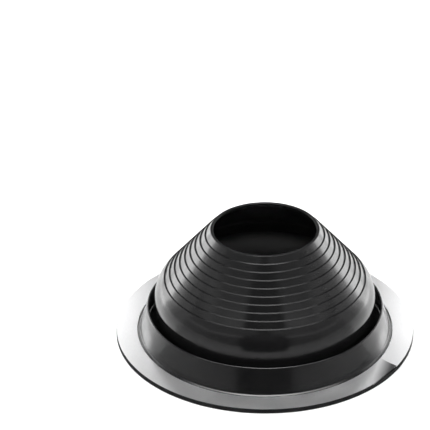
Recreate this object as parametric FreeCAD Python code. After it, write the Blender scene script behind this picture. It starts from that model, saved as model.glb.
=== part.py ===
import FreeCAD, Part
import math
import os

# Pipe flashing boot: a moulded rubber boot with a round base, and a soft
# aluminium strip ring bonded on its base flange. Millimetres, +Z up.
# Origin: centre of the flange's underside, on the boot's axis.

# ---------------------------------------------------------------- base flange
FLANGE_R = 145.0        # outer radius of the rubber flange
FLANGE_T = 3.7          # rubber thickness under the metal strip
LAND_Z = 4.5            # top of the rubber land at its outer edge, inside the strip
LAND_R = 124.1          # outer radius of that land
FOOT_FILLET = 2.0       # hollow radius between the sloping land and the skirt

# ---------------------------------------------------------------- outer skirt
SKIRT_R_FOOT = 121.8    # outer radius where the skirt's wall meets the land's slope
SKIRT_Z_FOOT = 5.4      # and the height of that corner, before it is hollowed
SKIRT_R_TOP = 114.55    # outer radius at the top edge
SKIRT_R_IN_TOP = 112.2  # inner radius at the top edge
SKIRT_R_IN_FOOT = 118.4 # inner radius at the gutter's floor
SKIRT_TOP = 29.55       # height of the skirt's rounded top edge
SKIRT_EDGE = 1.1        # rounding of the top edge

# ------------------------------------------------- gutter between skirt and cone
GUTTER_FLOOR = 4.2      # top face of the gutter's floor
GUTTER_FILLET = 2.6     # radius in both lower corners

# ------------------------------------------------------ collar and shoulder
COLLAR_R = 105.7        # outer radius of the upright collar under the cone
FOLD_R = 107.0          # radius of the shoulder's lower edge, which overhangs the collar
FOLD_Z = 38.6           # height of that edge
FOLD_EDGE = 0.6         # its rounding
COLLAR_R_IN = 103.3     # inner radius of the collar, which is the base opening
COLLAR_TOP_IN = 38.5    # height where its inside starts to curve
CREASE_Z = 51.8         # height of the crease between that curve and the inside cone

# ------------------------------------------------------------- stepped cone
N_LEDGE = 9             # cut ledges round the cone
LEDGE_R1 = 57.05        # radius of the highest ledge, in the middle of its tread
LEDGE_Z1 = 107.7        # height of the highest ledge
STEP_R = 5.0            # each ledge is this much larger in radius
STEP_Z = 5.85           # and this much lower
TREAD = 1.60            # width of a ledge's flat tread
NOSE_R = 0.22           # rounding of a ledge's outer corner
ROOT_R = 0.15           # hollow radius in a ledge's inner corner
WALL_IN = 3.0           # cone wall, measured along the radius from mid tread
INNER_STEP = 0.45       # small step where the inside wall thickens
INNER_STEP_Z = 75.0

# --------------------------------------------------------------- top opening
RIM_R = 52.2            # outer radius of the rim
RIM_TOP = 113.5         # overall height
BORE_R = 49.4           # radius of the short cylindrical mouth
BORE_Z0 = 110.6         # the mouth is cylindrical from here up
RIM_ROUND_OUT = 0.35
RIM_ROUND_IN = 0.45

# --------------------------------------------------------- aluminium strip
STRIP_R_IN = 124.75     # inner edge, leaving a fine groove beside the land
STRIP_R_OUT = 144.7     # outer edge
STRIP_T = 0.80          # strip thickness; its top is flush with the land
JOINT_R1, JOINT_A1 = 126.6, -27.9   # inner point of the line where the strip's two ends meet
JOINT_R2, JOINT_A2 = 145.7, -30.2   # outer point of it
JOINT_GAP = 0.15        # space between the two ends
CHORD_A1, CHORD_A2 = -45.5, -29.4   # the lower end's outer edge runs straight between these
CORNER_RISE = 1.15      # how far the lower end's loose outer corner has sprung up
CORNER_SPAN = 16.9      # from the line where it starts to lift to that corner


def ledge(k):
    """Mid-tread radius and height of ledge k, counted from the top, from 1."""
    return LEDGE_R1 + STEP_R * (k - 1), LEDGE_Z1 - STEP_Z * (k - 1)


def inner_r(z):
    """Inside radius of the conical wall at height z, above the inside step."""
    return LEDGE_R1 + (LEDGE_Z1 - z) * STEP_R / STEP_Z - WALL_IN


def V(p):
    return FreeCAD.Vector(p[0], 0.0, p[1])


def unit(a, b):
    d = math.hypot(b[0] - a[0], b[1] - a[1])
    return ((b[0] - a[0]) / d, (b[1] - a[1]) / d)


def profile_edges(points):
    """Edges of a closed profile in the XZ plane. A point is (r, z, radius) for
    a corner rounded with that radius, or ("arc", (r, z)) for a point that the
    arc between its two neighbours passes through."""
    corners = [p for p in points if p[0] != "arc"]
    n = len(corners)
    arcs = {}
    c = -1
    for p in points:
        if p[0] == "arc":
            arcs[c] = p[1]
        else:
            c += 1
    ends = []                       # (point before the corner, mid, point after)
    for i in range(n):
        a, b, d = corners[i - 1], corners[i], corners[(i + 1) % n]
        r = b[2]
        if r <= 0:
            ends.append((b[:2], None, b[:2]))
            continue
        back, ahead = a[:2], d[:2]
        if (i - 1) % n in arcs:     # leave along the arc's own tangent
            back = arc_tangent(a[:2], arcs[(i - 1) % n], b[:2], at_end=True)
        if i in arcs:
            ahead = arc_tangent(b[:2], arcs[i], d[:2], at_end=False)
        u, v = unit(b, back), unit(b, ahead)
        half = math.acos(max(-1.0, min(1.0, u[0] * v[0] + u[1] * v[1]))) / 2.0
        t = r / math.tan(half)
        w = (u[0] + v[0], u[1] + v[1])
        wl = math.hypot(*w)
        h = r / math.sin(half)
        centre = (b[0] + w[0] / wl * h, b[1] + w[1] / wl * h)
        mid = (centre[0] - w[0] / wl * r, centre[1] - w[1] / wl * r)
        ends.append(((b[0] + u[0] * t, b[1] + u[1] * t), mid,
                     (b[0] + v[0] * t, b[1] + v[1] * t)))
    edges = []
    for i in range(n):
        p_in, mid, p_out = ends[i]
        if mid is not None:
            edges.append(Part.Arc(V(p_in), V(mid), V(p_out)).toShape())
        q = ends[(i + 1) % n][0]
        if i in arcs:
            edges.append(Part.Arc(V(p_out), V(arcs[i]), V(q)).toShape())
        elif math.hypot(q[0] - p_out[0], q[1] - p_out[1]) > 1e-6:
            edges.append(Part.LineSegment(V(p_out), V(q)).toShape())
    return edges


def circle3(a, b, c):
    """Centre of the circle through three points."""
    ax, ay, bx, by, cx, cy = a[0], a[1], b[0], b[1], c[0], c[1]
    d = 2.0 * (ax * (by - cy) + bx * (cy - ay) + cx * (ay - by))
    ux = ((ax**2 + ay**2) * (by - cy) + (bx**2 + by**2) * (cy - ay) + (cx**2 + cy**2) * (ay - by)) / d
    uy = ((ax**2 + ay**2) * (cx - bx) + (bx**2 + by**2) * (ax - cx) + (cx**2 + cy**2) * (bx - ax)) / d
    return ux, uy


def arc_tangent(a, m, b, at_end):
    """A point on the arc's tangent line at one end, towards the arc's inside."""
    c = circle3(a, m, b)
    p = b if at_end else a
    rx, ry = p[0] - c[0], p[1] - c[1]
    t = (-ry, rx)
    toward = (m[0] - p[0], m[1] - p[1])
    if t[0] * toward[0] + t[1] * toward[1] < 0:
        t = (ry, -rx)
    return p[0] + t[0], p[1] + t[1]


def shoulder(r_flat, r_top, z_top, z_tan):
    """Arc from (r_top, z_top) to the vertical line r = r_flat at z_tan: radius
    and a point in its middle."""
    a, b = r_flat - r_top, z_top - z_tan
    rad = (a * a + b * b) / (2.0 * a)
    phi = math.asin(b / rad) / 2.0
    return rad, (r_flat - rad + rad * math.cos(phi), z_tan + rad * math.sin(phi))


# ------------------------------------------------------------ rubber boot
def rubber_boot():
    half = TREAD / 2.0
    pts = [
        (COLLAR_R_IN, 0.0, 0.5),
        (FLANGE_R, 0.0, 0.3),
        (FLANGE_R, FLANGE_T, 0.25),
        (LAND_R, FLANGE_T, 0.0),
        (LAND_R, LAND_Z, 0.25),
        (SKIRT_R_FOOT, SKIRT_Z_FOOT, FOOT_FILLET),
        (SKIRT_R_TOP, SKIRT_TOP, SKIRT_EDGE),
        (SKIRT_R_IN_TOP, SKIRT_TOP, SKIRT_EDGE),
        (SKIRT_R_IN_FOOT, GUTTER_FLOOR, GUTTER_FILLET),
        (COLLAR_R, GUTTER_FLOOR, GUTTER_FILLET),
        (COLLAR_R, FOLD_Z - FOLD_EDGE, 0.35),
        (FOLD_R, FOLD_Z - FOLD_EDGE, FOLD_EDGE),
        (FOLD_R, FOLD_Z, 0.0),
    ]
    # outer shoulder: one curve from its lower edge up to the lowest ledge
    r9, z9 = ledge(N_LEDGE)
    _, mid = shoulder(FOLD_R, r9 + half, z9, FOLD_Z)
    pts.append(("arc", mid))
    for k in range(N_LEDGE, 0, -1):
        r, z = ledge(k)
        pts.append((r + half, z, NOSE_R))
        pts.append((r - half, z, ROOT_R))
    pts += [
        (RIM_R, RIM_TOP, RIM_ROUND_OUT),
        (BORE_R, RIM_TOP, RIM_ROUND_IN),
        (BORE_R, BORE_Z0, 0.6),
        (inner_r(BORE_Z0 - 2.6), BORE_Z0 - 2.6, 2.0),
        (inner_r(INNER_STEP_Z), INNER_STEP_Z, 0.2),
        (inner_r(INNER_STEP_Z) - INNER_STEP, INNER_STEP_Z - 0.3, 0.2),
    ]
    # the inside cone ends in a crease; a curve leads from it to the collar's bore
    rc = inner_r(CREASE_Z) - INNER_STEP
    _, mid = shoulder(COLLAR_R_IN, rc, CREASE_Z, COLLAR_TOP_IN)
    pts += [(rc, CREASE_Z, 0.0), ("arc", mid), (COLLAR_R_IN, COLLAR_TOP_IN, 0.0)]
    face = Part.Face(Part.Wire(profile_edges(pts)))
    return face.revolve(FreeCAD.Vector(0, 0, 0), FreeCAD.Vector(0, 0, 1), 360.0)


# -------------------------------------------------------- aluminium strip
def polar(r, a):
    return FreeCAD.Vector(r * math.cos(math.radians(a)), r * math.sin(math.radians(a)), 0.0)


def annulus(z0, z1):
    a = Part.makeCylinder(STRIP_R_OUT, z1 - z0, FreeCAD.Vector(0, 0, z0))
    b = Part.makeCylinder(STRIP_R_IN, z1 - z0 + 2.0, FreeCAD.Vector(0, 0, z0 - 1.0))
    return a.cut(b)


def prism(points, z0, z1):
    wire = Part.makePolygon([FreeCAD.Vector(p.x, p.y, z0) for p in points + points[:1]])
    return Part.Face(wire).extrude(FreeCAD.Vector(0, 0, z1 - z0))


def flange_ring():
    # Local frame of the joint: u runs outward along the cut, t points across
    # it, from the lower end towards the upper end.
    p1, p2 = polar(JOINT_R1, JOINT_A1), polar(JOINT_R2, JOINT_A2)
    u = (p2 - p1).normalize()
    t = FreeCAD.Vector(-u.y, u.x, 0.0)
    c1, c2 = polar(STRIP_R_OUT, CHORD_A1), polar(STRIP_R_OUT, CHORD_A2)
    top, low = LAND_Z, LAND_Z - STRIP_T
    tall = top + CORNER_RISE + 4.0

    # The lower end lifts beyond the line from the joint's inner end to where
    # its straight outer edge starts: h runs along that line, d across it.
    h = (c1 - p1).normalize()
    d = FreeCAD.Vector(-h.y, h.x, 0.0)

    def at(a, b):
        return p1 + h * a + d * b

    lifting = prism([at(-60.0, 0.0), at(60.0, 0.0), at(60.0, 40.0), at(-60.0, 40.0)], low - 1.0, tall)
    below = prism([p1 - u * 30.0 - t * JOINT_GAP, p1 + u * 40.0 - t * JOINT_GAP,
                   p1 + u * 40.0 - t * 60.0, p1 - u * 30.0 - t * 60.0], low - 1.0, tall)
    corner_zone = lifting.common(below)

    # The flat run round the boot, up to the cut.
    cut = prism([p1 - u * 12.0, p1 + u * 32.0,
                 p1 + u * 32.0 - t * JOINT_GAP, p1 - u * 12.0 - t * JOINT_GAP], low - 1.0, tall)
    ring = annulus(low, top).cut(cut).cut(corner_zone)

    # The lifted corner: flat where it starts, steeper towards the corner.
    steps = [(b, CORNER_RISE * (b / CORNER_SPAN) ** 2) for b in
             [CORNER_SPAN * k / 10.0 for k in range(12)]]
    upper = [at(-60.0, b) + FreeCAD.Vector(0, 0, top + z) for b, z in steps]
    lower = [at(-60.0, b) + FreeCAD.Vector(0, 0, low + z) for b, z in reversed(steps)]
    wire = Part.makePolygon(upper + lower + upper[:1])
    corner = Part.Face(wire).extrude(h * 120.0)
    corner = corner.common(annulus(low - 1.0, tall)).common(below)
    ring = ring.fuse(corner)

    # The rolled strip's lower end was never bent round: its outer edge is straight.
    along = (c2 - c1).normalize()
    out = FreeCAD.Vector(along.y, -along.x, 0.0)
    c2 = c1 + along * ((c2 - c1).Length + 14.0)
    waste = prism([c1, c2, c2 + out * 8.0, c1 + out * 8.0], low - 1.0, tall).common(below)
    return ring.cut(waste).removeSplitter()


def main():
    os.makedirs("parts", exist_ok=True)
    boot = rubber_boot()
    ring = flange_ring()
    for name, shape in (("rubber_boot", boot), ("flange_ring", ring)):
        if len(shape.Solids) == 1:
            shape = shape.Solids[0]
        shape.exportStep("parts/%s.step" % name)
        b = shape.BoundBox
        print("%-12s solids %d valid %s volume %.1f mm3  box %.2f %.2f %.2f .. %.2f %.2f %.2f" % (
            name, len(shape.Solids), shape.isValid(), shape.Volume,
            b.XMin, b.YMin, b.ZMin, b.XMax, b.YMax, b.ZMax))
    print("shared volume", boot.common(ring).Volume)


main()
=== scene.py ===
import math

import bpy
from mathutils import Matrix, Vector, noise


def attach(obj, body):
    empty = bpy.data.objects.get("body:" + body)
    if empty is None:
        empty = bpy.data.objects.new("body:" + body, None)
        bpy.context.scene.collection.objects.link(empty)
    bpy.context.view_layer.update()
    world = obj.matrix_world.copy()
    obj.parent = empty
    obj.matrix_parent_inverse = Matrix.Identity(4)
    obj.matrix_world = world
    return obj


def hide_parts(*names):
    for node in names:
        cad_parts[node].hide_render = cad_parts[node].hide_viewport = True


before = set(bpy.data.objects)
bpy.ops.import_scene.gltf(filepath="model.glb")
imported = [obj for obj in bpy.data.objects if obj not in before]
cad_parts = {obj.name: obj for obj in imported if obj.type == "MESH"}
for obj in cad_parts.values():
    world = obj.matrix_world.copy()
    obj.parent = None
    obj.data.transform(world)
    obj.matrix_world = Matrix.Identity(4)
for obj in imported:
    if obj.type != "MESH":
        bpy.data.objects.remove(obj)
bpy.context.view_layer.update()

scene = bpy.context.scene
MM = 0.001


# ------------------------------------------------------------------ camera
# It stands in front of the part, about 2.2 m from the middle of its base,
# and looks down on it at about 32 degrees, with a long lens.
def make_camera():
    pan, tilt, roll = math.radians(-1.484), math.radians(-29.565), math.radians(-0.632)
    fwd = Vector((math.sin(pan) * math.cos(tilt), math.cos(pan) * math.cos(tilt), math.sin(tilt)))
    right0 = Vector((math.cos(pan), -math.sin(pan), 0.0))
    up0 = right0.cross(fwd)
    right = math.cos(roll) * right0 + math.sin(roll) * up0
    up = -math.sin(roll) * right0 + math.cos(roll) * up0
    data = bpy.data.cameras.new("camera")
    data.sensor_fit = "AUTO"
    data.sensor_width = 36.0
    data.lens = 185.53
    data.clip_start = 0.05
    data.clip_end = 50.0
    cam = bpy.data.objects.new("camera", data)
    scene.collection.objects.link(cam)
    m = Matrix((right, up, -fwd)).transposed().to_4x4()
    m.translation = Vector((0.0, -1.83407, 1.16915))
    cam.matrix_world = m
    scene.camera = cam


make_camera()

# --------------------------------------------------------------- dimensions
# The same sizes as the CAD model, in millimetres.
FLANGE_R, FLANGE_T = 145.0, 3.7
LAND_Z, LAND_R, FOOT_FILLET = 4.5, 124.1, 2.0
SKIRT_R_FOOT, SKIRT_Z_FOOT, SKIRT_R_TOP, SKIRT_TOP, SKIRT_EDGE = 121.8, 5.4, 114.55, 29.55, 1.1
SKIRT_R_IN_TOP, SKIRT_R_IN_FOOT = 112.2, 118.4
GUTTER_FLOOR, GUTTER_FILLET = 4.2, 2.6
COLLAR_R, COLLAR_R_IN, COLLAR_TOP_IN, CREASE_Z = 105.7, 103.3, 38.5, 51.8
FOLD_R, FOLD_Z, FOLD_EDGE = 107.0, 38.6, 0.6
N_LEDGE, LEDGE_R1, LEDGE_Z1, STEP_R, STEP_Z = 9, 57.05, 107.7, 5.0, 5.85
TREAD, NOSE_R, ROOT_R = 1.60, 0.22, 0.15
WALL_IN, INNER_STEP, INNER_STEP_Z = 3.0, 0.45, 75.0
RIM_R, RIM_TOP, BORE_R, BORE_Z0 = 52.2, 113.5, 49.4, 110.6
# the strip's joint: its inner end, the way the loose corner lifts, and the way
# across the cut; these place the aluminium's painted shade on the lifted corner
JOINT_IN, LIFT_DIR, ACROSS_DIR = (111.89, -59.24), (0.9728, -0.2316), (0.7075, 0.707)


def ledge(k):
    return LEDGE_R1 + STEP_R * (k - 1), LEDGE_Z1 - STEP_Z * (k - 1)


def inner_r(z):
    return LEDGE_R1 + (LEDGE_Z1 - z) * STEP_R / STEP_Z - WALL_IN


# ------------------------------------------------------------ profile maker
def norm2(x, y):
    d = math.hypot(x, y)
    return x / d, y / d


def shoulder_arc(r_flat, r_top, z_top, z_tan, n, rising):
    """Points with outward normals on the arc from the vertical line r = r_flat
    at z_tan up to (r_top, z_top); its ends left out."""
    a, b = r_flat - r_top, z_top - z_tan
    rad = (a * a + b * b) / (2.0 * a)
    full = math.asin(b / rad)
    out = []
    for i in range(n + 1):
        t = full * i / n
        out.append((r_flat - rad + rad * math.cos(t), z_tan + rad * math.sin(t),
                    math.cos(t), math.sin(t)))
    if not rising:
        out = [(r, z, -nr, -nz) for r, z, nr, nz in reversed(out)]
    return out


def rounded(points):
    """Samples (r, z, nr, nz) of an open run of straight lines with rounded
    corners. A point is (r, z, radius, segments); the first and last are ends."""
    out = []
    n = len(points)
    for i, (r, z, rad, seg) in enumerate(points):
        if i == 0 or i == n - 1:
            j = 1 if i == 0 else n - 2
            q = points[j]
            d = norm2(q[0] - r, q[1] - z) if i == 0 else norm2(r - q[0], z - q[1])
            out.append((r, z, d[1], -d[0]))
            continue
        a, c = points[i - 1], points[i + 1]
        u = norm2(a[0] - r, a[1] - z)
        v = norm2(c[0] - r, c[1] - z)
        half = math.acos(max(-1.0, min(1.0, u[0] * v[0] + u[1] * v[1]))) / 2.0
        t = rad / math.tan(half)
        w = norm2(u[0] + v[0], u[1] + v[1])
        h = rad / math.sin(half)
        cx, cy = r + w[0] * h, z + w[1] * h
        d1, d2 = (-u[0], -u[1]), v
        n1, n2 = (d1[1], -d1[0]), (d2[1], -d2[0])
        convex = (r + u[0] * t - cx) * n1[0] + (z + u[1] * t - cy) * n1[1] > 0
        a1 = math.atan2(n1[1], n1[0])
        a2 = math.atan2(n2[1], n2[0])
        while a2 - a1 > math.pi:
            a2 -= 2.0 * math.pi
        while a2 - a1 < -math.pi:
            a2 += 2.0 * math.pi
        for k in range(seg + 1):
            g = a1 + (a2 - a1) * k / seg
            nx, ny = math.cos(g), math.sin(g)
            s = rad if convex else -rad
            out.append((cx + nx * s, cy + ny * s, nx, ny))
    return out


def boot_profile():
    """Closed section of the boot, going out along the underside, up the
    outside and back down the inside, with outward normals."""
    half = TREAD / 2.0
    out = rounded([
        (COLLAR_R_IN, COLLAR_TOP_IN, 0, 0),
        (COLLAR_R_IN, 0.0, 0.5, 3),
        (FLANGE_R, 0.0, 0.3, 3),
        (FLANGE_R, FLANGE_T, 0.25, 3),
        (LAND_R, FLANGE_T, 0.08, 1),
        (LAND_R, LAND_Z, 0.25, 3),
        (SKIRT_R_FOOT, SKIRT_Z_FOOT, FOOT_FILLET, 9),
        (SKIRT_R_TOP, SKIRT_TOP, SKIRT_EDGE, 8),
        (SKIRT_R_IN_TOP, SKIRT_TOP, SKIRT_EDGE, 8),
        (SKIRT_R_IN_FOOT, GUTTER_FLOOR, GUTTER_FILLET, 5),
        (COLLAR_R, GUTTER_FLOOR, GUTTER_FILLET, 5),
        (COLLAR_R, FOLD_Z - FOLD_EDGE, 0.35, 3),
        (FOLD_R, FOLD_Z - FOLD_EDGE, FOLD_EDGE - 0.001, 6),
        (FOLD_R, FOLD_Z, 0, 0),
    ])
    r9, z9 = ledge(N_LEDGE)
    # the nose of the lowest ledge rounds the shoulder's upper end
    arc = shoulder_arc(FOLD_R, r9 + half, z9, FOLD_Z, 22, True)
    out += arc[1:-1]
    steps = [(arc[-2][0], arc[-2][1], 0, 0)]
    for k in range(N_LEDGE, 0, -1):
        r, z = ledge(k)
        steps.append((r + half, z, NOSE_R, 5))
        steps.append((r - half, z, ROOT_R, 3))
    steps += [
        (RIM_R, RIM_TOP, 0.35, 5),
        (BORE_R, RIM_TOP, 0.45, 5),
        (BORE_R, BORE_Z0, 0.6, 2),
        (inner_r(BORE_Z0 - 2.6), BORE_Z0 - 2.6, 2.0, 2),
        (inner_r(INNER_STEP_Z), INNER_STEP_Z, 0.2, 2),
        (inner_r(INNER_STEP_Z) - INNER_STEP, INNER_STEP_Z - 0.3, 0.2, 2),
    ]
    rc = inner_r(CREASE_Z) - INNER_STEP
    steps.append((rc, CREASE_Z, 0, 0))
    out += rounded(steps)[1:]
    # the crease keeps two normals: the cone's last point and the curve's first
    out += shoulder_arc(COLLAR_R_IN, rc, CREASE_Z, COLLAR_TOP_IN, 12, False)[:-1]
    # long straight runs get extra points, so that their shape can waver a little
    full = []
    for i, p in enumerate(out):
        q = out[(i + 1) % len(out)]
        full.append(p)
        d = math.hypot(q[0] - p[0], q[1] - p[1])
        more = 0
        if p[1] > 0.5 and d > 4.0:
            more = min(3, int(d / 4.0))
        for k in range(1, more + 1):
            f = k / (more + 1)
            nr, nz = norm2(p[2] * (1 - f) + q[2] * f, p[3] * (1 - f) + q[3] * f)
            full.append((p[0] + (q[0] - p[0]) * f, p[1] + (q[1] - p[1]) * f, nr, nz))
    return full


# ------------------------------------------------------------------ numbers
def text_mesh(text, height, depth, bevel):
    """Flat text of a given height, centred on the origin, as points and
    polygons in millimetres: x along the line, y up, z out."""
    curve = bpy.data.curves.new("size_text", "FONT")
    curve.body = text
    curve.size = 1.0
    curve.resolution_u = 4
    curve.align_x = "CENTER"
    curve.space_character = 1.12
    ob = bpy.data.objects.new("size_text", curve)
    scene.collection.objects.link(ob)
    bpy.context.view_layer.update()
    flat = bpy.data.meshes.new_from_object(ob.evaluated_get(bpy.context.evaluated_depsgraph_get()))
    ys = [v.co.y for v in flat.vertices]
    k = height / (max(ys) - min(ys))
    bpy.data.meshes.remove(flat)
    curve.extrude = depth / k / 2.0
    curve.bevel_depth = bevel / k
    curve.bevel_resolution = 1
    curve.offset = -bevel / k * 0.5
    bpy.context.view_layer.update()
    solid = bpy.data.meshes.new_from_object(ob.evaluated_get(bpy.context.evaluated_depsgraph_get()))
    mid = (max(ys) + min(ys)) / 2.0
    pts = [(v.co.x * k, (v.co.y - mid) * k, v.co.z * k) for v in solid.vertices]
    polys = [tuple(p.vertices) for p in solid.polygons]
    bpy.data.meshes.remove(solid)
    bpy.data.objects.remove(ob)
    bpy.data.curves.remove(curve)
    return pts, polys


def on_cone(pts, azimuth, rm, zm, nr, nz):
    """Wraps a text's points round the boot at a place with that normal."""
    out = []
    for u, v, w in pts:
        r = rm - nz * v + nr * w
        z = zm + nr * v + nz * w
        a = math.radians(azimuth) + u / rm
        out.append((r * math.cos(a) * MM, r * math.sin(a) * MM, z * MM))
    return out


# ------------------------------------------------------------ the boot's mesh
AZ_SEG = 360


def waver(r, z, a):
    """Tiny unevenness of the moulded surface, in millimetres."""
    p = Vector((r * math.cos(a), r * math.sin(a), z * 1.3)) / 42.0
    q = Vector((r * math.cos(a) + 300.0, r * math.sin(a), z * 1.5)) / 15.0
    return 0.050 * noise.noise(p) + 0.010 * noise.noise(q)


def build_boot():
    prof = boot_profile()
    n = len(prof)
    verts, normals, faces = [], [], []
    for i, (r, z, nr, nz) in enumerate(prof):
        hidden = z < 5.0 and r > 119.0
        for j in range(AZ_SEG):
            a = 2.0 * math.pi * j / AZ_SEG
            c, s = math.cos(a), math.sin(a)
            d = 0.0 if (hidden or z < 2.0) else waver(r, z, a)
            rr, zz = r + nr * d, z + nz * d
            verts.append((rr * c * MM, rr * s * MM, zz * MM))
            normals.append((nr * c, nr * s, nz))
    for i in range(n):
        k = (i + 1) % n
        for j in range(AZ_SEG):
            l = (j + 1) % AZ_SEG
            faces.append((i * AZ_SEG + j, i * AZ_SEG + l, k * AZ_SEG + l, k * AZ_SEG + j))
    smooth = [True] * len(faces)
    base = len(verts)

    # raised size marks: the pipe diameter that each band fits when the cone is
    # cut along the top of that band
    labels = []
    for k in range(1, N_LEDGE + 1):
        r1, z1 = ledge(k)
        if k == 1:
            rm, zm = (RIM_R + r1 - TREAD / 2.0) / 2.0, (RIM_TOP + z1) / 2.0
        else:
            r0, z0 = ledge(k - 1)
            rm, zm = (r0 + r1) / 2.0, (z0 + z1) / 2.0
        nr, nz = norm2(RIM_TOP - z1, r1 - TREAD / 2.0 - RIM_R)
        if k > 1:
            # the band is a little flatter than the line through the ledges
            dr, dz = (r1 - TREAD / 2.0) - (r0 + TREAD / 2.0), z0 - z1
            nr, nz = norm2(dz, dr)
        labels.append((str(90 + 10 * k), rm, zm, nr, nz, 2.9))
    arc = shoulder_arc(FOLD_R, ledge(N_LEDGE)[0] + TREAD / 2.0, ledge(N_LEDGE)[1], FOLD_Z, 60, True)
    p = arc[47]
    labels.append((str(100 + 10 * N_LEDGE), p[0], p[1], p[2], p[3], 4.2))
    for text, rm, zm, nr, nz, h in labels:
        pts, polys = text_mesh(text, h, 0.22, 0.07)
        at = on_cone(pts, LABEL_AZ, rm + nr * 0.06, zm + nz * 0.06, nr, nz)
        first = len(verts)
        verts += at
        normals += [None] * len(at)
        for poly in polys:
            faces.append(tuple(first + q for q in poly))
            smooth.append(False)

    me = bpy.data.meshes.new("rubber_boot_body")
    me.from_pydata(verts, [], faces)
    me.validate()
    me.polygons.foreach_set("use_smooth", smooth)
    me.update()
    ob = bpy.data.objects.new("boot_body", me)
    scene.collection.objects.link(ob)

    # exact normals on the turned surface; the marks keep their own
    corner = []
    for poly in me.polygons:
        for v in poly.vertices:
            nv = normals[v]
            corner.append(nv if nv is not None else tuple(poly.normal))
    me.normals_split_custom_set(corner)

    # the flange's cut edge and underside have the second material
    for poly in me.polygons:
        x, y, z = poly.center
        if z < 0.0038 and (z < 0.0004 or x * x + y * y > 0.1446 ** 2):
            poly.material_index = 1
    return ob


LABEL_AZ = -46.0


# ---------------------------------------------------------------- materials
def nodes_of(name):
    mat = bpy.data.materials.new(name)
    mat.use_nodes = True
    nt = mat.node_tree
    nt.nodes.clear()
    out = nt.nodes.new("ShaderNodeOutputMaterial")
    bsdf = nt.nodes.new("ShaderNodeBsdfPrincipled")
    nt.links.new(bsdf.outputs[0], out.inputs[0])
    return mat, nt, bsdf


def add(nt, kind, **props):
    nd = nt.nodes.new(kind)
    for k, v in props.items():
        if k.startswith("in_"):
            nd.inputs[int(k[3:])].default_value = v
        else:
            setattr(nd, k, v)
    return nd


def noise_tex(nt, coord, scale, detail=2.0, rough=0.5):
    nd = nt.nodes.new("ShaderNodeTexNoise")
    nd.inputs["Scale"].default_value = scale
    nd.inputs["Detail"].default_value = detail
    nd.inputs["Roughness"].default_value = rough
    nt.links.new(coord, nd.inputs["Vector"])
    return nd.outputs["Fac"]


def remap(nt, value, lo, hi, a=0.0, b=1.0):
    nd = nt.nodes.new("ShaderNodeMapRange")
    nd.inputs["From Min"].default_value = a
    nd.inputs["From Max"].default_value = b
    nd.inputs["To Min"].default_value = lo
    nd.inputs["To Max"].default_value = hi
    nt.links.new(value, nd.inputs["Value"])
    return nd.outputs["Result"]


def rubber_material():
    mat, nt, bsdf = nodes_of("epdm_rubber")
    pos = add(nt, "ShaderNodeTexCoord").outputs["Object"]
    tint = noise_tex(nt, pos, 28.0, 4.0, 0.55)
    ramp = add(nt, "ShaderNodeValToRGB")
    ramp.color_ramp.elements[0].position = 0.30
    ramp.color_ramp.elements[0].color = (0.0052, 0.0053, 0.0056, 1)
    ramp.color_ramp.elements[1].position = 0.75
    ramp.color_ramp.elements[1].color = (0.0078, 0.0078, 0.0080, 1)
    nt.links.new(tint, ramp.inputs[0])
    nt.links.new(ramp.outputs[0], bsdf.inputs["Base Color"])
    rough = remap(nt, noise_tex(nt, pos, 60.0, 3.0, 0.6), 0.17, 0.21, 0.3, 0.7)
    nt.links.new(rough, bsdf.inputs["Roughness"])
    bsdf.inputs["IOR"].default_value = 1.5
    # the mould's fine satin grain, and softer unevenness under it
    grain = noise_tex(nt, pos, 2600.0, 2.0, 0.6)
    soft = noise_tex(nt, pos, 220.0, 2.0, 0.5)
    b1 = add(nt, "ShaderNodeBump")
    b1.inputs["Strength"].default_value = 0.10
    b1.inputs["Distance"].default_value = 0.0001
    nt.links.new(soft, b1.inputs["Height"])
    b2 = add(nt, "ShaderNodeBump")
    b2.inputs["Strength"].default_value = 0.12
    b2.inputs["Distance"].default_value = 0.00003
    nt.links.new(grain, b2.inputs["Height"])
    nt.links.new(b1.outputs[0], b2.inputs["Normal"])
    nt.links.new(b2.outputs[0], bsdf.inputs["Normal"])
    return mat


def cut_edge_material():
    mat, nt, bsdf = nodes_of("epdm_cut_edge")
    pos = add(nt, "ShaderNodeTexCoord").outputs["Object"]
    tint = noise_tex(nt, pos, 90.0, 4.0, 0.6)
    ramp = add(nt, "ShaderNodeValToRGB")
    ramp.color_ramp.elements[0].position = 0.30
    ramp.color_ramp.elements[0].color = (0.0060, 0.0061, 0.0064, 1)
    ramp.color_ramp.elements[1].position = 0.75
    ramp.color_ramp.elements[1].color = (0.0095, 0.0095, 0.0098, 1)
    nt.links.new(tint, ramp.inputs[0])
    nt.links.new(ramp.outputs[0], bsdf.inputs["Base Color"])
    rough = remap(nt, noise_tex(nt, pos, 160.0, 3.0, 0.6), 0.55, 0.65, 0.3, 0.7)
    nt.links.new(rough, bsdf.inputs["Roughness"])
    bsdf.inputs["IOR"].default_value = 1.5
    bsdf.inputs["Specular IOR Level"].default_value = 0.15
    return mat


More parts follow.
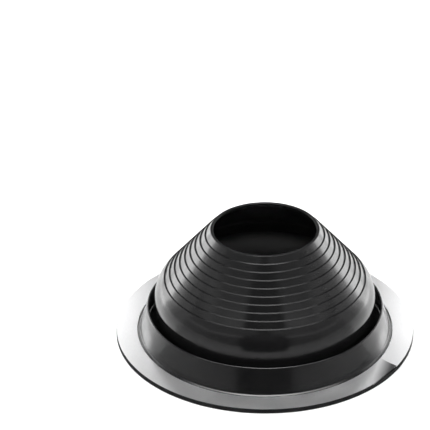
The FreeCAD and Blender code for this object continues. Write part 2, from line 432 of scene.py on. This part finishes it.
def aluminium_material():
    mat, nt, bsdf = nodes_of("soft_aluminium")
    pos = add(nt, "ShaderNodeTexCoord").outputs["Object"]
    # rolling lines follow the strip, so they run round the ring
    sep = add(nt, "ShaderNodeSeparateXYZ")
    nt.links.new(pos, sep.inputs[0])
    xx = add(nt, "ShaderNodeMath", operation="MULTIPLY")
    nt.links.new(sep.outputs[0], xx.inputs[0]); nt.links.new(sep.outputs[0], xx.inputs[1])
    yy = add(nt, "ShaderNodeMath", operation="MULTIPLY_ADD")
    nt.links.new(sep.outputs[1], yy.inputs[0]); nt.links.new(sep.outputs[1], yy.inputs[1]); nt.links.new(xx.outputs[0], yy.inputs[2])
    rad = add(nt, "ShaderNodeMath", operation="SQRT")
    nt.links.new(yy.outputs[0], rad.inputs[0])
    ang = add(nt, "ShaderNodeMath", operation="ARCTAN2")
    nt.links.new(sep.outputs[1], ang.inputs[0]); nt.links.new(sep.outputs[0], ang.inputs[1])
    slow = add(nt, "ShaderNodeMath", operation="MULTIPLY", in_1=0.02)
    nt.links.new(ang.outputs[0], slow.inputs[0])
    comb = add(nt, "ShaderNodeCombineXYZ")
    nt.links.new(rad.outputs[0], comb.inputs[0]); nt.links.new(slow.outputs[0], comb.inputs[1])
    lines = noise_tex(nt, comb.outputs[0], 1500.0, 3.0, 0.6)
    cloud = noise_tex(nt, pos, 35.0, 3.0, 0.5)
    ramp = add(nt, "ShaderNodeValToRGB")
    ramp.color_ramp.elements[0].position = 0.25
    ramp.color_ramp.elements[0].color = (0.80, 0.80, 0.805, 1)
    ramp.color_ramp.elements[1].position = 0.75
    ramp.color_ramp.elements[1].color = (0.87, 0.87, 0.875, 1)
    nt.links.new(lines, ramp.inputs[0])
    # painted shade: the strip's sprung-up corner at the joint is coloured darker, more so towards the lifted
    # corner, in place of the dark reflection the tilted metal gives
    rel = add(nt, "ShaderNodeVectorMath", operation="SUBTRACT")
    nt.links.new(pos, rel.inputs[0])
    rel.inputs[1].default_value = (JOINT_IN[0] * MM, JOINT_IN[1] * MM, 0.0)
    lift = add(nt, "ShaderNodeVectorMath", operation="DOT_PRODUCT")
    nt.links.new(rel.outputs[0], lift.inputs[0])
    lift.inputs[1].default_value = (LIFT_DIR[0], LIFT_DIR[1], 0.0)
    across = add(nt, "ShaderNodeVectorMath", operation="DOT_PRODUCT")
    nt.links.new(rel.outputs[0], across.inputs[0])
    across.inputs[1].default_value = (ACROSS_DIR[0], ACROSS_DIR[1], 0.0)
    side = add(nt, "ShaderNodeMath", operation="LESS_THAN", in_1=0.0)
    nt.links.new(across.outputs["Value"], side.inputs[0])
    near = add(nt, "ShaderNodeMath", operation="GREATER_THAN", in_1=-0.040)
    nt.links.new(across.outputs["Value"], near.inputs[0])
    both = add(nt, "ShaderNodeMath", operation="MULTIPLY")
    nt.links.new(side.outputs[0], both.inputs[0])
    nt.links.new(near.outputs[0], both.inputs[1])
    corner_shade = add(nt, "ShaderNodeMath", operation="MULTIPLY")
    nt.links.new(remap(nt, lift.outputs["Value"], 0.0, 1.0, -0.002, 0.0115), corner_shade.inputs[0])
    nt.links.new(both.outputs[0], corner_shade.inputs[1])
    mix = add(nt, "ShaderNodeMix", data_type="RGBA")
    nt.links.new(corner_shade.outputs[0], mix.inputs["Factor"])
    nt.links.new(ramp.outputs[0], mix.inputs[6])
    mix.inputs[7].default_value = (0.15, 0.15, 0.155, 1)
    # painted shade: the strip's outer edge face is coloured near black, so that it mirrors almost no light
    edge = add(nt, "ShaderNodeMath", operation="GREATER_THAN", in_1=0.14462)
    nt.links.new(rad.outputs[0], edge.inputs[0])
    edge_shade_mix = add(nt, "ShaderNodeMix", data_type="RGBA")
    nt.links.new(edge.outputs[0], edge_shade_mix.inputs["Factor"])
    nt.links.new(mix.outputs[2], edge_shade_mix.inputs[6])
    edge_shade_mix.inputs[7].default_value = (0.035, 0.035, 0.036, 1)
    nt.links.new(edge_shade_mix.outputs[2], bsdf.inputs["Base Color"])
    bsdf.inputs["Metallic"].default_value = 1.0
    r1 = remap(nt, cloud, 0.31, 0.355, 0.3, 0.7)
    nt.links.new(r1, bsdf.inputs["Roughness"])
    bump = add(nt, "ShaderNodeBump")
    bump.inputs["Strength"].default_value = 0.10
    bump.inputs["Distance"].default_value = 0.00003
    nt.links.new(lines, bump.inputs["Height"])
    nt.links.new(bump.outputs[0], bsdf.inputs["Normal"])
    return mat


# ------------------------------------------------------------------- pieces
rubber = rubber_material()
aluminium = aluminium_material()

boot = build_boot()
boot.data.materials.append(rubber)
boot.data.materials.append(cut_edge_material())
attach(boot, "root")
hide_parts("rubber_boot")

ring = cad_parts["flange_ring"]
ring.data.materials.clear()
ring.data.materials.append(aluminium)

# -------------------------------------------------------------------- floor
# One pale floor. In front it is made of fine strips, and every other strip
# isn't mirrored in the rubber, so that the rubber sees a floor half as bright;
# straight in front, towards the camera, none is mirrored.
S, FRONT_Y0, FRONT_Y1, STRIP = 6.0, -0.55, -0.05, 0.004
rows = [[(-S, S, FRONT_Y1, S)], []]
y, k = FRONT_Y1, 1
while y > FRONT_Y0 + 1e-6:
    y0, y1 = y - STRIP, y
    half = 0.024 - 0.42 * (y + 0.116)
    if k == 0 and y < -0.22:
        rows[0] += [(-S, -half, y0, y1), (half, S, y0, y1)]
        rows[1].append((-half, half, y0, y1))
    else:
        rows[k].append((-S, S, y0, y1))
    y, k = y0, 1 - k
floors = []
for name, part in (("floor", rows[0]), ("floor_front", rows[1])):
    pts, quads = [], []
    for x0, x1, y0, y1 in part:
        n = len(pts)
        pts += [(x0, y0, 0), (x1, y0, 0), (x1, y1, 0), (x0, y1, 0)]
        quads.append((n, n + 1, n + 2, n + 3))
    me = bpy.data.meshes.new(name)
    me.from_pydata(pts, [], quads)
    ob = bpy.data.objects.new(name, me)
    scene.collection.objects.link(ob)
    floors.append(ob)
floors[1].visible_glossy = False
mat, nt, bsdf = nodes_of("pale_floor")
pos = add(nt, "ShaderNodeTexCoord").outputs["Object"]
ramp = add(nt, "ShaderNodeValToRGB")
ramp.color_ramp.elements[0].color = (0.86, 0.86, 0.86, 1)
ramp.color_ramp.elements[1].color = (0.90, 0.90, 0.90, 1)
nt.links.new(noise_tex(nt, pos, 3.0, 2.0, 0.5), ramp.inputs[0])
nt.links.new(ramp.outputs[0], bsdf.inputs["Base Color"])
bsdf.inputs["Roughness"].default_value = 0.22
bsdf.inputs["Specular IOR Level"].default_value = 0.5
for ob in floors:
    ob.data.materials.append(mat)

# ------------------------------------------------------------------- lights
CENTRE = Vector((0.0, 0.0, 0.05))


def panel(name, az, el, dist, width, height, radiance, target=CENTRE):
    """A soft box. az is counted from the camera's side (-Y) towards +X, el is
    up from the floor; width is level, height across it."""
    a, e = math.radians(az), math.radians(el)
    d = Vector((math.sin(a) * math.cos(e), -math.cos(a) * math.cos(e), math.sin(e)))
    data = bpy.data.lights.new(name, "AREA")
    data.shape = "RECTANGLE"
    data.size = width
    data.size_y = height
    data.energy = math.pi * width * height * radiance
    ob = bpy.data.objects.new(name, data)
    scene.collection.objects.link(ob)
    back = d
    side = Vector((0, 0, 1)).cross(back)
    side = side.normalized() if side.length > 1e-4 else Vector((1, 0, 0))
    up = back.cross(side)
    m = Matrix((side, up, back)).transposed().to_4x4()
    m.translation = target + d * dist
    ob.matrix_world = m
    ob.visible_camera = False
    return ob


def card(name, p1, p2, z1, z2, radiance):
    """An upright soft panel that stands between two plan points and faces the
    part; its mirror image stands on the other side."""
    for s in (-1, 1):
        q1, q2 = Vector((s * p1[0], p1[1], 0.0)), Vector((s * p2[0], p2[1], 0.0))
        mid = (q1 + q2) / 2.0
        side = (q2 - q1).normalized()
        back = side.cross(Vector((0, 0, 1)))
        if back.dot(mid) < 0:
            side, back = -side, -back
        up = back.cross(side)
        w, h = (q2 - q1).length, z2 - z1
        data = bpy.data.lights.new(name, "AREA")
        data.shape = "RECTANGLE"
        data.size, data.size_y = w, h
        data.energy = math.pi * w * h * radiance
        ob = bpy.data.objects.new(name + ("_l" if s < 0 else "_r"), data)
        scene.collection.objects.link(ob)
        m = Matrix((side, up, back)).transposed().to_4x4()
        m.translation = Vector((mid.x, mid.y, (z1 + z2) / 2.0))
        ob.matrix_world = m
        ob.visible_camera = False


def at(az, r):
    return (r * math.sin(math.radians(az)), -r * math.cos(math.radians(az)))


# a long box straight overhead, a little dimmer in its middle
for y, lum in ((-0.075, 15.3), (0.075, 8.4), (0.225, 14.2)):
    panel("top_box", 180, 90, 0.95, 0.40, 0.15, lum, target=Vector((0.0, y, 0.05)))
# and its dimmer wings to both sides
for x in (-0.38, 0.38):
    panel("top_wing", 180, 90, 0.95, 0.35, 0.36, 5.0, target=Vector((x, 0.13, 0.05)))
# a dim wall behind the part, with a bright low box to each side of it
card("back_mid", (0.0, 0.50), (0.145, 0.50), 0.30, 0.60, 0.22)
card("back_low", (0.0, 0.50), (0.330, 0.46), 0.0, 0.155, 1.2)
card("back_side", (0.150, 0.50), (0.205, 0.49), 0.16, 0.27, 0.8)
card("back_side", (0.159, 0.50), (0.205, 0.49), 0.27, 0.365, 4.0)
card("back_side", (0.206, 0.49), (0.265, 0.475), 0.27, 0.360, 6.6)
card("corner_box", at(137.5, 0.50), (0.332, 0.455), 0.0, 0.45, 3.5)
# bright boxes stand close by on both sides, a little behind the part
card("side_edge", at(132.0, 0.50), at(137.0, 0.50), 0.0, 0.35, 2.4)
card("side_edge", at(127.5, 0.50), at(132.0, 0.50), 0.0, 0.35, 2.5)
card("side_box", at(118.5, 0.50), at(127.5, 0.50), 0.0, 0.12, 4.1)
card("side_box", at(118.5, 0.50), at(127.5, 0.50), 0.12, 0.25, 5.1)
card("side_box", at(110.0, 0.50), at(118.5, 0.50), 0.0, 0.25, 5.5)
card("side_box", at(110.0, 0.50), at(127.5, 0.50), 0.251, 0.50, 2.8)
card("side_near", at(101.0, 0.52), at(109.5, 0.52), 0.0, 0.40, 1.7)
card("side_near", at(93.0, 0.52), at(100.9, 0.52), 0.0, 0.40, 0.88)
card("side_dim", at(80.0, 0.54), at(92.5, 0.54), 0.0, 0.40, 0.67)
# in front a grey tent, open in the middle below for the camera, with a
# brighter strip along it
for z1, z2, inner, lum in ((0.0, 0.215, 0.165, 0.24), (0.216, 0.250, 0.150, 1.0), (0.251, 0.285, 0.130, 0.32),
                           (0.286, 0.330, 0.100, 0.32), (0.331, 0.700, 0.050, 0.32)):
    card("tent_front", (inner, -0.40), at(51.5, 0.56), z1, z2, lum)
for z1, z2, lum in ((0.0, 0.215, 0.35), (0.216, 0.250, 1.0), (0.251, 0.700, 0.35)):
    card("tent_side", at(52.0, 0.56), at(79.5, 0.56), z1, z2, lum)
# the dim room behind the camera
panel("room_front", 0, 32, 2.6, 1.2, 1.2, 0.1)

# low white light on the floor in front, behind and to both sides, not mirrored
# in the part
for x, y, w, h, high, lum in ((0.0, -0.41, 1.80, 0.50, 0.20, 1.5), (0.0, 3.26, 12.0, 5.48, 0.36, 1.35),
                              (-3.35, -0.02, 5.30, 1.08, 0.36, 1.35), (3.35, -0.02, 5.30, 1.08, 0.36, 1.35)):
    fill = panel("floor_fill", 180, 90, high, w, h, lum, target=Vector((x, y, 0.0)))
    fill.visible_glossy = False

# The room behind the part is plain and pale for the camera, and gives no light.
world = bpy.data.worlds.new("room")
scene.world = world
world.use_nodes = True
bg = world.node_tree.nodes["Background"]
bg.inputs[0].default_value = (0.98, 0.98, 0.98, 1)
bg.inputs[1].default_value = 1.0
vis = world.cycles_visibility
vis.camera, vis.diffuse, vis.glossy, vis.transmission, vis.scatter = True, False, False, False, False

scene.view_settings.view_transform = "Standard"
scene.view_settings.look = "None"
scene.view_settings.exposure = 0.0
scene.view_settings.gamma = 1.0
